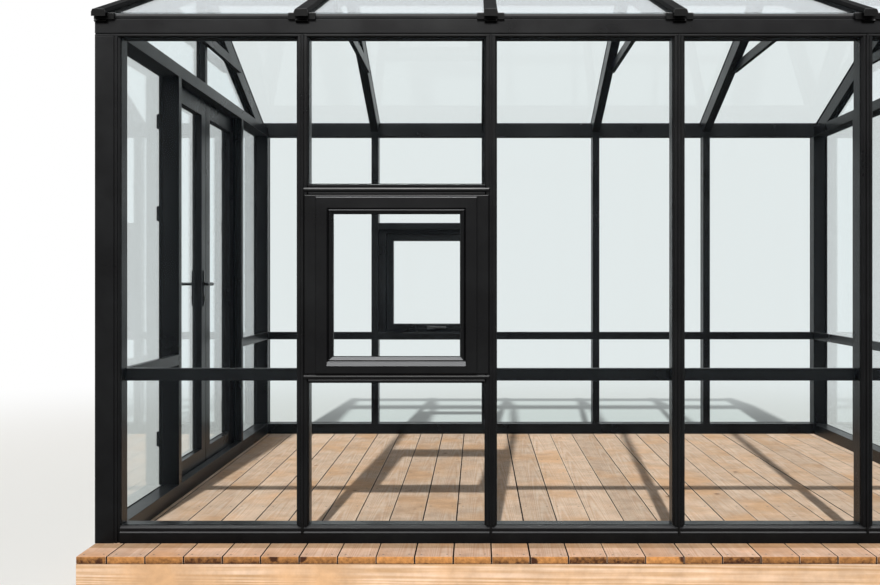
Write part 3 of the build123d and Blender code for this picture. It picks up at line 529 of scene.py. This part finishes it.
# %% Lay the boards
board_width = 142 * mm
narrowest_board = 12 * mm
planed_round = 3 * mm
gap = (board_pitch - board_width) / 2
random.seed(7)
mesh = bmesh.new()
first = math.floor((deck_low.x - board_seam) / board_pitch)
last = math.ceil((deck_high.x - board_seam) / board_pitch)
board_tops = []
for number in range(first, last):
    low_x = max(board_seam + number * board_pitch + gap + random.uniform(-1, 1) * mm,
                deck_low.x)
    high_x = min(board_seam + (number + 1) * board_pitch - gap + random.uniform(-1, 1) * mm,
                 deck_high.x)
    if high_x - low_x < narrowest_board:
        continue
    low_y = deck_low.y + random.uniform(0.02, 2.5) * mm
    high_y = deck_high.y - random.uniform(0.02, 2.5) * mm
    top = deck_top - random.uniform(0, 0.5) * mm
    corners = bmesh.ops.create_cube(mesh, size=1.0)["verts"]
    for corner in corners:
        corner.co.x = low_x if corner.co.x < 0 else high_x
        corner.co.y = low_y if corner.co.y < 0 else high_y
        corner.co.z = deck_low.z if corner.co.z < 0 else top
    board_tops.append((low_x, high_x, top))
data = bpy.data.meshes.new("deck_boards")
mesh.to_mesh(data)
mesh.free()
deck_boards = bpy.data.objects.new("deck_boards", data)
bpy.context.collection.objects.link(deck_boards)
data.materials.append(weathered_larch)
rounding = deck_boards.modifiers.new("planed_edges", "BEVEL")
rounding.width, rounding.segments = planed_round, 3
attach(deck_boards, "greenhouse")
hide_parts("deck_floor")
print(len(board_tops), "boards")

# %% [markdown]
# ## Small fittings
# A joined mesh holds each kind of fitting, so that hundreds of screws stay one piece. They are
# built from rings of points: one function draws a ring, one turns the rings to the way that they
# point, and one joins each ring to the next, as on a lathe.

# %% Stacks of rings
def ring_points(radius_at, height, count):
    points = []
    for number in range(count):
        angle = 2 * math.pi * number / count
        points.append(Vector((radius_at(angle) * math.cos(angle),
                              radius_at(angle) * math.sin(angle), height)))
    return points


def circle(radius, height, count):
    return ring_points(lambda angle: radius, height, count)


def join_rings(mesh, rings):
    """A band of faces from each ring of corners to the next."""
    for lower, upper in zip(rings, rings[1:]):
        for number in range(len(lower)):
            after = (number + 1) % len(lower)
            mesh.faces.new((lower[number], lower[after], upper[after], upper[number]))


def placed(mesh, rings, centre, way):
    """New corners for rings of points that stand at a centre and point one way."""
    turn = Vector(way).to_track_quat("Z", "Y")
    return [[mesh.verts.new(Vector(centre) + turn @ point) for point in ring] for ring in rings]


def stack(mesh, rings, centre, way):
    """Joins rings of points into one closed form."""
    made = placed(mesh, rings, centre, way)
    join_rings(mesh, made)
    mesh.faces.new(list(reversed(made[0])))
    mesh.faces.new(made[-1])


def fitting(name, mesh, material, body):
    bmesh.ops.recalc_face_normals(mesh, faces=mesh.faces)
    data = bpy.data.meshes.new(name)
    mesh.to_mesh(data)
    mesh.free()
    piece = bpy.data.objects.new(name, data)
    bpy.context.collection.objects.link(piece)
    data.materials.append(material)
    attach(piece, body)
    print(name, len(data.polygons), "faces")


print("ring stacks ready")

# %% [markdown]
# ## Screws
# Deck screws are stainless steel with a countersunk head, 8 mm across, and a six-lobed socket.
# Two hold each board at each timber that it crosses, and one holds a board that is cut narrow.
# The hinges have smaller heads of the same kind in black. The socket is a ring whose radius
# swells six times round.

# %% Screw heads
def screw_head(mesh, centre, way, radius=4 * mm, stands=0.4 * mm):
    def lobes(angle):
        return radius * (0.42 + 0.07 * math.cos(6 * angle))

    stack(mesh, [circle(radius * 0.8, -1.2 * mm, 24), circle(radius, 0.0, 24),
                 circle(radius * 0.94, stands, 24), ring_points(lobes, stands, 24),
                 ring_points(lambda angle: 0.85 * lobes(angle), -0.9 * mm, 24)], centre, way)


wear_size, worn_metal = 3 * mm, "#5b5650"


def steel(name, colour, roughness):
    material, tree = new_material(name)
    place = add(tree, "TexCoord").outputs["Object"]
    wear = add(tree, "TexNoise", {"Vector": place, "Scale": 1 / wear_size, "Detail": 3.0})
    rough = add(tree, "MapRange", {"Value": wear.outputs["Fac"], "To Min": roughness * 0.7,
                                   "To Max": roughness * 1.3})
    shades = add(tree, "Mix", {0: wear.outputs["Fac"], 6: linear(colour),
                               7: linear(worn_metal)}, data_type="RGBA")
    shader = add(tree, "BsdfPrincipled", {"Base Color": shades.outputs[2], "Metallic": 1.0,
                                          "Roughness": rough.outputs[0]})
    add(tree, "OutputMaterial", {"Surface": shader.outputs[0]})
    return material


stainless_steel = steel("weathered_stainless_steel", "#6e6962", 0.45)
print("steel:", stainless_steel.name)

# %% Deck screws
joist_pitch, rim_line = 433.25 * mm, 1744 * mm
screw_places, single_place = (0.16, 0.84), (0.5,)
two_screw_width = 100 * mm
timber_lines = [0.0]
for line in (joist_pitch, 2 * joist_pitch, 3 * joist_pitch, rim_line):
    timber_lines += [line, -line]
screws = bmesh.new()
for low_x, high_x, top in board_tops:
    wide = high_x - low_x > two_screw_width
    for line in timber_lines:
        for place in screw_places if wide else single_place:
            across = low_x + place * (high_x - low_x) + random.uniform(-3, 3) * mm
            along = line + random.uniform(-6, 6) * mm
            screw_head(screws, (across, along, top), (0, 0, 1))
fitting("deck_screws", screws, stainless_steel, "greenhouse")

# %% [markdown]
# ## Hinges
# Each lift-off hinge has a domed cap at both ends of its barrel, and two black screws in each
# plate. The upper cap and the plate on the leaf swing with the leaf. The rest stays on the
# post.

# %% Hinge caps and screws
cap_radius, cap_skirt, cap_dome = 6.2 * mm, 2 * mm, 1.6 * mm
leaf_plate_out, post_plate_out = 5 * mm, 13 * mm
plate_reaches, post_screw_rise = (15 * mm, 27 * mm), 16 * mm
plate_screw = {"radius": 3.6 * mm, "stands": 0.3 * mm}
corner_slack = 0.1 * mm


def loose_boxes(node_name):
    """The box of each separate solid in a node, and whether the solid fills it squarely."""
    found = bmesh.new()
    found.from_mesh(nodes[node_name].data)
    bmesh.ops.remove_doubles(found, verts=found.verts, dist=merge_distance)
    left, boxes = set(found.verts), []
    while left:
        wave, group = [left.pop()], []
        while wave:
            vert = wave.pop()
            group.append(vert.co.copy())
            for edge in vert.link_edges:
                other = edge.other_vert(vert)
                if other in left:
                    left.remove(other)
                    wave.append(other)
        low = [min(point[axis] for point in group) for axis in range(3)]
        high = [max(point[axis] for point in group) for axis in range(3)]
        square = all(min(abs(point[axis] - low[axis]), abs(point[axis] - high[axis]))
                     < corner_slack for point in group for axis in range(3))
        boxes.append((low, high, square))
    found.free()
    return sorted(boxes)


def domed_cap(mesh, centre, way):
    rings = [circle(cap_radius, 0.0, 24)]
    for step in range(1, 5):
        tilt = math.radians(step * 20)
        rings.append(circle(cap_radius * math.cos(tilt), cap_skirt + cap_dome * math.sin(tilt),
                            24))
    stack(mesh, rings, centre, way)


hinge_axes = {joint["child"]: joint["pos_m"] for joint in frame["joints"]
              if joint["name"] in ("front_leaf_hinge", "back_leaf_hinge")}
print("hinge axes at", {body: [round(v, 4) for v in place[:2]]
                        for body, place in hinge_axes.items()})
for body, hinge_node in (("front_leaf", "front_leaf_hinges"), ("back_leaf", "back_leaf_hinges")):
    axis_x, axis_y = hinge_axes[body][:2]
    inward = -1 if axis_y > 0 else 1
    small = bmesh.new()
    for low, high, _ in loose_boxes(hinge_node):
        domed_cap(small, (axis_x, axis_y, high[2]), (0, 0, 1))
        for reach in plate_reaches:
            screw_head(small, (axis_x + leaf_plate_out, axis_y + inward * reach,
                               (low[2] + high[2]) / 2), (-1, 0, 0), **plate_screw)
    fitting(body + "_hinge_caps", small, black_lacquer, body)
small = bmesh.new()
for low, high, _ in loose_boxes("door_hinge_plates"):
    outward = 1 if low[1] + high[1] > 0 else -1
    axis_x, axis_y = hinge_axes["back_leaf" if outward > 0 else "front_leaf"][:2]
    domed_cap(small, (axis_x, axis_y, low[2]), (0, 0, -1))
    for reach in plate_reaches:
        screw_head(small, (axis_x + post_plate_out, axis_y + outward * reach,
                           low[2] + post_screw_rise), (-1, 0, 0), **plate_screw)
fitting("post_hinge_caps", small, black_lacquer, "greenhouse")

# %% [markdown]
# ## Lock and handle
# A euro-profile lock cylinder shows below the lever on both sides of the door: a 17 mm barrel
# over a 10 mm tongue. Its outline is two arcs joined by straight sides, drawn as one ring of
# points. A thin rose covers the hole where the lever's neck enters the plate.

# %% Lock cylinder and roses
plate_low, plate_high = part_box("handle_plates")
spindle_y, spindle_z = next(joint["pos_m"] for joint in frame["joints"]
                            if joint["name"] == "lever_turn")[1:]
lock_drop = 72 * mm
lock_z = spindle_z - lock_drop
barrel_radius, tongue_radius, tongue_drop = 8.5 * mm, 5 * mm, 19.5 * mm
plug_radius = 6.4 * mm


def euro_outline(grow, height):
    """The barrel's arc from one side of the tongue to the other, then the tongue's round foot."""
    points = []
    for number in range(25):
        angle = math.radians(-54 + 288 * number / 24)
        points.append(Vector(((barrel_radius + grow) * math.cos(angle),
                              (barrel_radius + grow) * math.sin(angle), height)))
    for number in range(13):
        angle = math.radians(180 + 180 * number / 12)
        points.append(Vector(((tongue_radius + grow) * math.cos(angle),
                              -tongue_drop + (tongue_radius + grow) * math.sin(angle), height)))
    return points


lock = bmesh.new()
rose = bmesh.new()
for face_x, way in ((plate_low.x, -1), (plate_high.x, 1)):
    def upright(ring):
        return [Vector((face_x + way * point.z, spindle_y - way * point.x, lock_z + point.y))
                for point in ring]

    layers = [euro_outline(0, -0.5 * mm), euro_outline(0, 2.4 * mm),
              euro_outline(-0.5 * mm, 3 * mm)]
    made = [[lock.verts.new(point) for point in upright(layer)] for layer in layers]
    join_rings(lock, made)
    lock.faces.new(made[0])
    lock.faces.new(made[-1])
    plug_x = face_x + way * 3 * mm
    stack(lock, [circle(plug_radius, -0.3 * mm, 32), circle(plug_radius, 0.5 * mm, 32),
                 circle(plug_radius - 0.4 * mm, 0.8 * mm, 32),
                 ring_points(lambda angle: 1.1 * mm + 3.2 * mm * abs(math.sin(angle)) ** 6,
                             0.8 * mm, 32),
                 ring_points(lambda angle: 1.0 * mm + 3.0 * mm * abs(math.sin(angle)) ** 6,
                             -0.2 * mm, 32)], (plug_x, spindle_y, lock_z), (way, 0, 0))
    rings = [circle(radius, height, 48) for radius, height in
             ((13.5 * mm, 0.0), (13.5 * mm, 2.2 * mm), (12.6 * mm, 3.0 * mm),
              (8.6 * mm, 3.0 * mm), (8.6 * mm, 0.0))]
    made = placed(rose, rings, (face_x, spindle_y, spindle_z), (way, 0, 0))
    join_rings(rose, made + made[:1])
dark_nickel = steel("satin_dark_nickel", "#4d4a47", 0.35)
fitting("lock_cylinder", lock, dark_nickel, "front_leaf")
fitting("lever_roses", rose, black_lacquer, "front_leaf")

# %% [markdown]
# ## Gaskets
# A wedge of black EPDM rubber holds each upright rectangular pane from inside. It shows as a
# thin lip along all four edges of the glass, with mitred corners, 2.2 mm wide and 4 mm proud of
# the pane. The slanting panes of the gables and the panes of the roof are held by their bars
# alone.

# %% Inner gaskets
edge_cover = 12 * mm
lip_width, lip_height = 2.2 * mm, 4 * mm
thickest_pane = 6 * mm


def gasket(mesh, low, high, thin_axis, inward):
    """A frame of rubber on the inner face of a pane, given the pane's box."""
    across, up = [axis for axis in range(3) if axis != thin_axis]
    face = high[thin_axis] if inward > 0 else low[thin_axis]

    def frame_ring(inset, rise):
        corners = []
        for right, top in ((0, 0), (1, 0), (1, 1), (0, 1)):
            point = [0.0, 0.0, 0.0]
            point[thin_axis] = face + inward * rise
            point[across] = high[across] - inset if right else low[across] + inset
            point[up] = high[up] - inset if top else low[up] + inset
            corners.append(mesh.verts.new(point))
        return corners

    rings = [frame_ring(edge_cover, 0), frame_ring(edge_cover, lip_height),
             frame_ring(edge_cover + lip_width / 2, lip_height),
             frame_ring(edge_cover + lip_width, lip_height / 3),
             frame_ring(edge_cover + lip_width, 0)]
    join_rings(mesh, rings + rings[:1])


rubber_of = {"greenhouse": bmesh.new(), "front_leaf": bmesh.new(), "back_leaf": bmesh.new()}
for name in nodes:
    if "glass" not in name or "roof" in name:
        continue
    body = name.removesuffix("_glass") if name.endswith("leaf_glass") else "greenhouse"
    for low, high, square in loose_boxes(name):
        sizes = [high[axis] - low[axis] for axis in range(3)]
        thin_axis = sizes.index(min(sizes))
        if square and min(sizes) < thickest_pane:
            middle = (low[thin_axis] + high[thin_axis]) / 2
            gasket(rubber_of[body], low, high, thin_axis, -1 if middle > 0 else 1)
for body, rubber in rubber_of.items():
    fitting(body + "_gaskets", rubber, epdm_rubber, body)

# %% [markdown]
# ## Floor, background and light
# A pale floor carries the shadow. Further out it fades into the white background, so that no
# horizon shows. The sun stands behind the camera, a little to the left and 32 degrees up, and
# lays the shadows of the bars on the deck. The sky fills in evenly.

# %% Pale floor
fade_from, fade_to = 3.6, 8.5
floor_size = 120


def looked_at(tree):
    """1 for rays from the camera, and for those that mirrors or glass pass on, otherwise 0."""
    path = add(tree, "LightPath")
    seen = add(tree, "Math", {0: path.outputs["Is Camera Ray"],
                              1: path.outputs["Is Glossy Ray"]}, operation="MAXIMUM")
    return add(tree, "Math", {0: seen.outputs[0], 1: path.outputs["Is Transmission Ray"]},
               operation="MAXIMUM").outputs[0]


def pale_floor():
    material, tree = new_material("pale_studio_floor")
    place = add(tree, "TexCoord").outputs["Object"]
    away = add(tree, "VectorMath", {0: place}, operation="LENGTH")
    fade = add(tree, "MapRange", {"Value": away.outputs["Value"], "From Min": fade_from,
                                  "From Max": fade_to}, interpolation_type="SMOOTHSTEP")
    share = add(tree, "Math", {0: fade.outputs[0], 1: looked_at(tree)}, operation="MULTIPLY")
    matt = add(tree, "BsdfDiffuse", {"Color": linear("#f1f1ef")})
    white = add(tree, "Emission", {"Color": (1, 1, 1, 1), "Strength": 1.0})
    both = add(tree, "MixShader", {0: share.outputs[0], 1: matt.outputs[0], 2: white.outputs[0]})
    add(tree, "OutputMaterial", {"Surface": both.outputs[0]})
    return material


bpy.ops.mesh.primitive_plane_add(size=floor_size, location=(0, 0, 0))
floor = bpy.context.object
floor.name = "studio_floor"
floor.data.materials.append(pale_floor())
print("floor laid")

# %% Sky and sun
world = bpy.data.worlds.new("white_studio")
bpy.context.scene.world = world
world.use_nodes = True
sky = world.node_tree
sky.nodes.clear()
fill_level = 0.34
strength = add(sky, "MapRange", {"Value": looked_at(sky), "To Min": fill_level, "To Max": 1.0})
background = add(sky, "Background", {"Color": (1, 1, 1, 1), "Strength": strength.outputs[0]})
add(sky, "OutputWorld", {"Surface": background.outputs[0]})

sun_height = math.radians(32)
sun_aside = 0.063
sun_way = Vector((sun_aside * math.cos(sun_height), math.cos(sun_height), -math.sin(sun_height)))
lamp = bpy.data.lights.new("soft_sun", "SUN")
lamp.energy, lamp.angle = 3.7, math.radians(1.0)
lamp.color = (1.0, 0.985, 0.96)
sun = bpy.data.objects.new("soft_sun", lamp)
sun.rotation_euler = sun_way.to_track_quat("-Z", "Y").to_euler()
bpy.context.collection.objects.link(sun)
print("sun at", lamp.energy, "sky fill at", fill_level)

# %% [markdown]
# The black bars live by what they mirror. Out of doors every face that looks up shows the
# bright sky, and an upright face shows what is darker. A studio does that with a big softbox
# overhead. It is seen only in reflections and is linked to the satin blacks alone: the coated
# bars, the hinges, the handle and the nylon. So it draws the bright lines along their edges and
# leaves the timber, the glass, the rubber and the matt caps as they are.

# %% Softbox overhead
box_lamp = bpy.data.lights.new("overhead_softbox", "AREA")
box_lamp.shape, box_lamp.size, box_lamp.size_y = "RECTANGLE", 24.0, 18.0
box_radiance = 11.0
box_lamp.energy = box_radiance * math.pi * box_lamp.size * box_lamp.size_y
softbox = bpy.data.objects.new("overhead_softbox", box_lamp)
softbox.location = (0, -5.0, 8.0)
softbox.visible_diffuse = softbox.visible_camera = softbox.visible_transmission = False
satin = bpy.data.collections.new("satin_blacks")
for node in nodes.values():
    if node.data.materials[0] in (black_powder_coat, dusty_highlighted_powder_coat, hinge_powder_coat,
                                  black_lacquer, glossy_nylon, moulded_nylon):
        satin.objects.link(node)
softbox.light_linking.receiver_collection = satin
bpy.context.collection.objects.link(softbox)
print("softbox", box_lamp.size, "by", box_lamp.size_y, "m")

# %% [markdown]
# ## Camera
# The photograph was taken square to the front wall from 1.05 m above the deck, with level bars.
# A level camera with a small lens shift keeps them level and upright, and crops the roof as
# there.

# %% Camera
view = bpy.data.cameras.new("front_view")
view.lens, view.sensor_width = 44.5, 36
view.shift_x, view.shift_y = -0.04295, -0.01602
view.clip_end = 200
camera = bpy.data.objects.new("front_view", view)
camera.location = (-0.426, -5.894, deck_top + 1.053)
camera.rotation_euler = (math.radians(90), 0, 0)
bpy.context.collection.objects.link(camera)
bpy.context.scene.camera = camera
bpy.context.scene.view_settings.view_transform = "Standard"
bpy.context.scene.cycles.transparent_max_bounces = 24
print("camera at", tuple(round(v, 3) for v in camera.location))
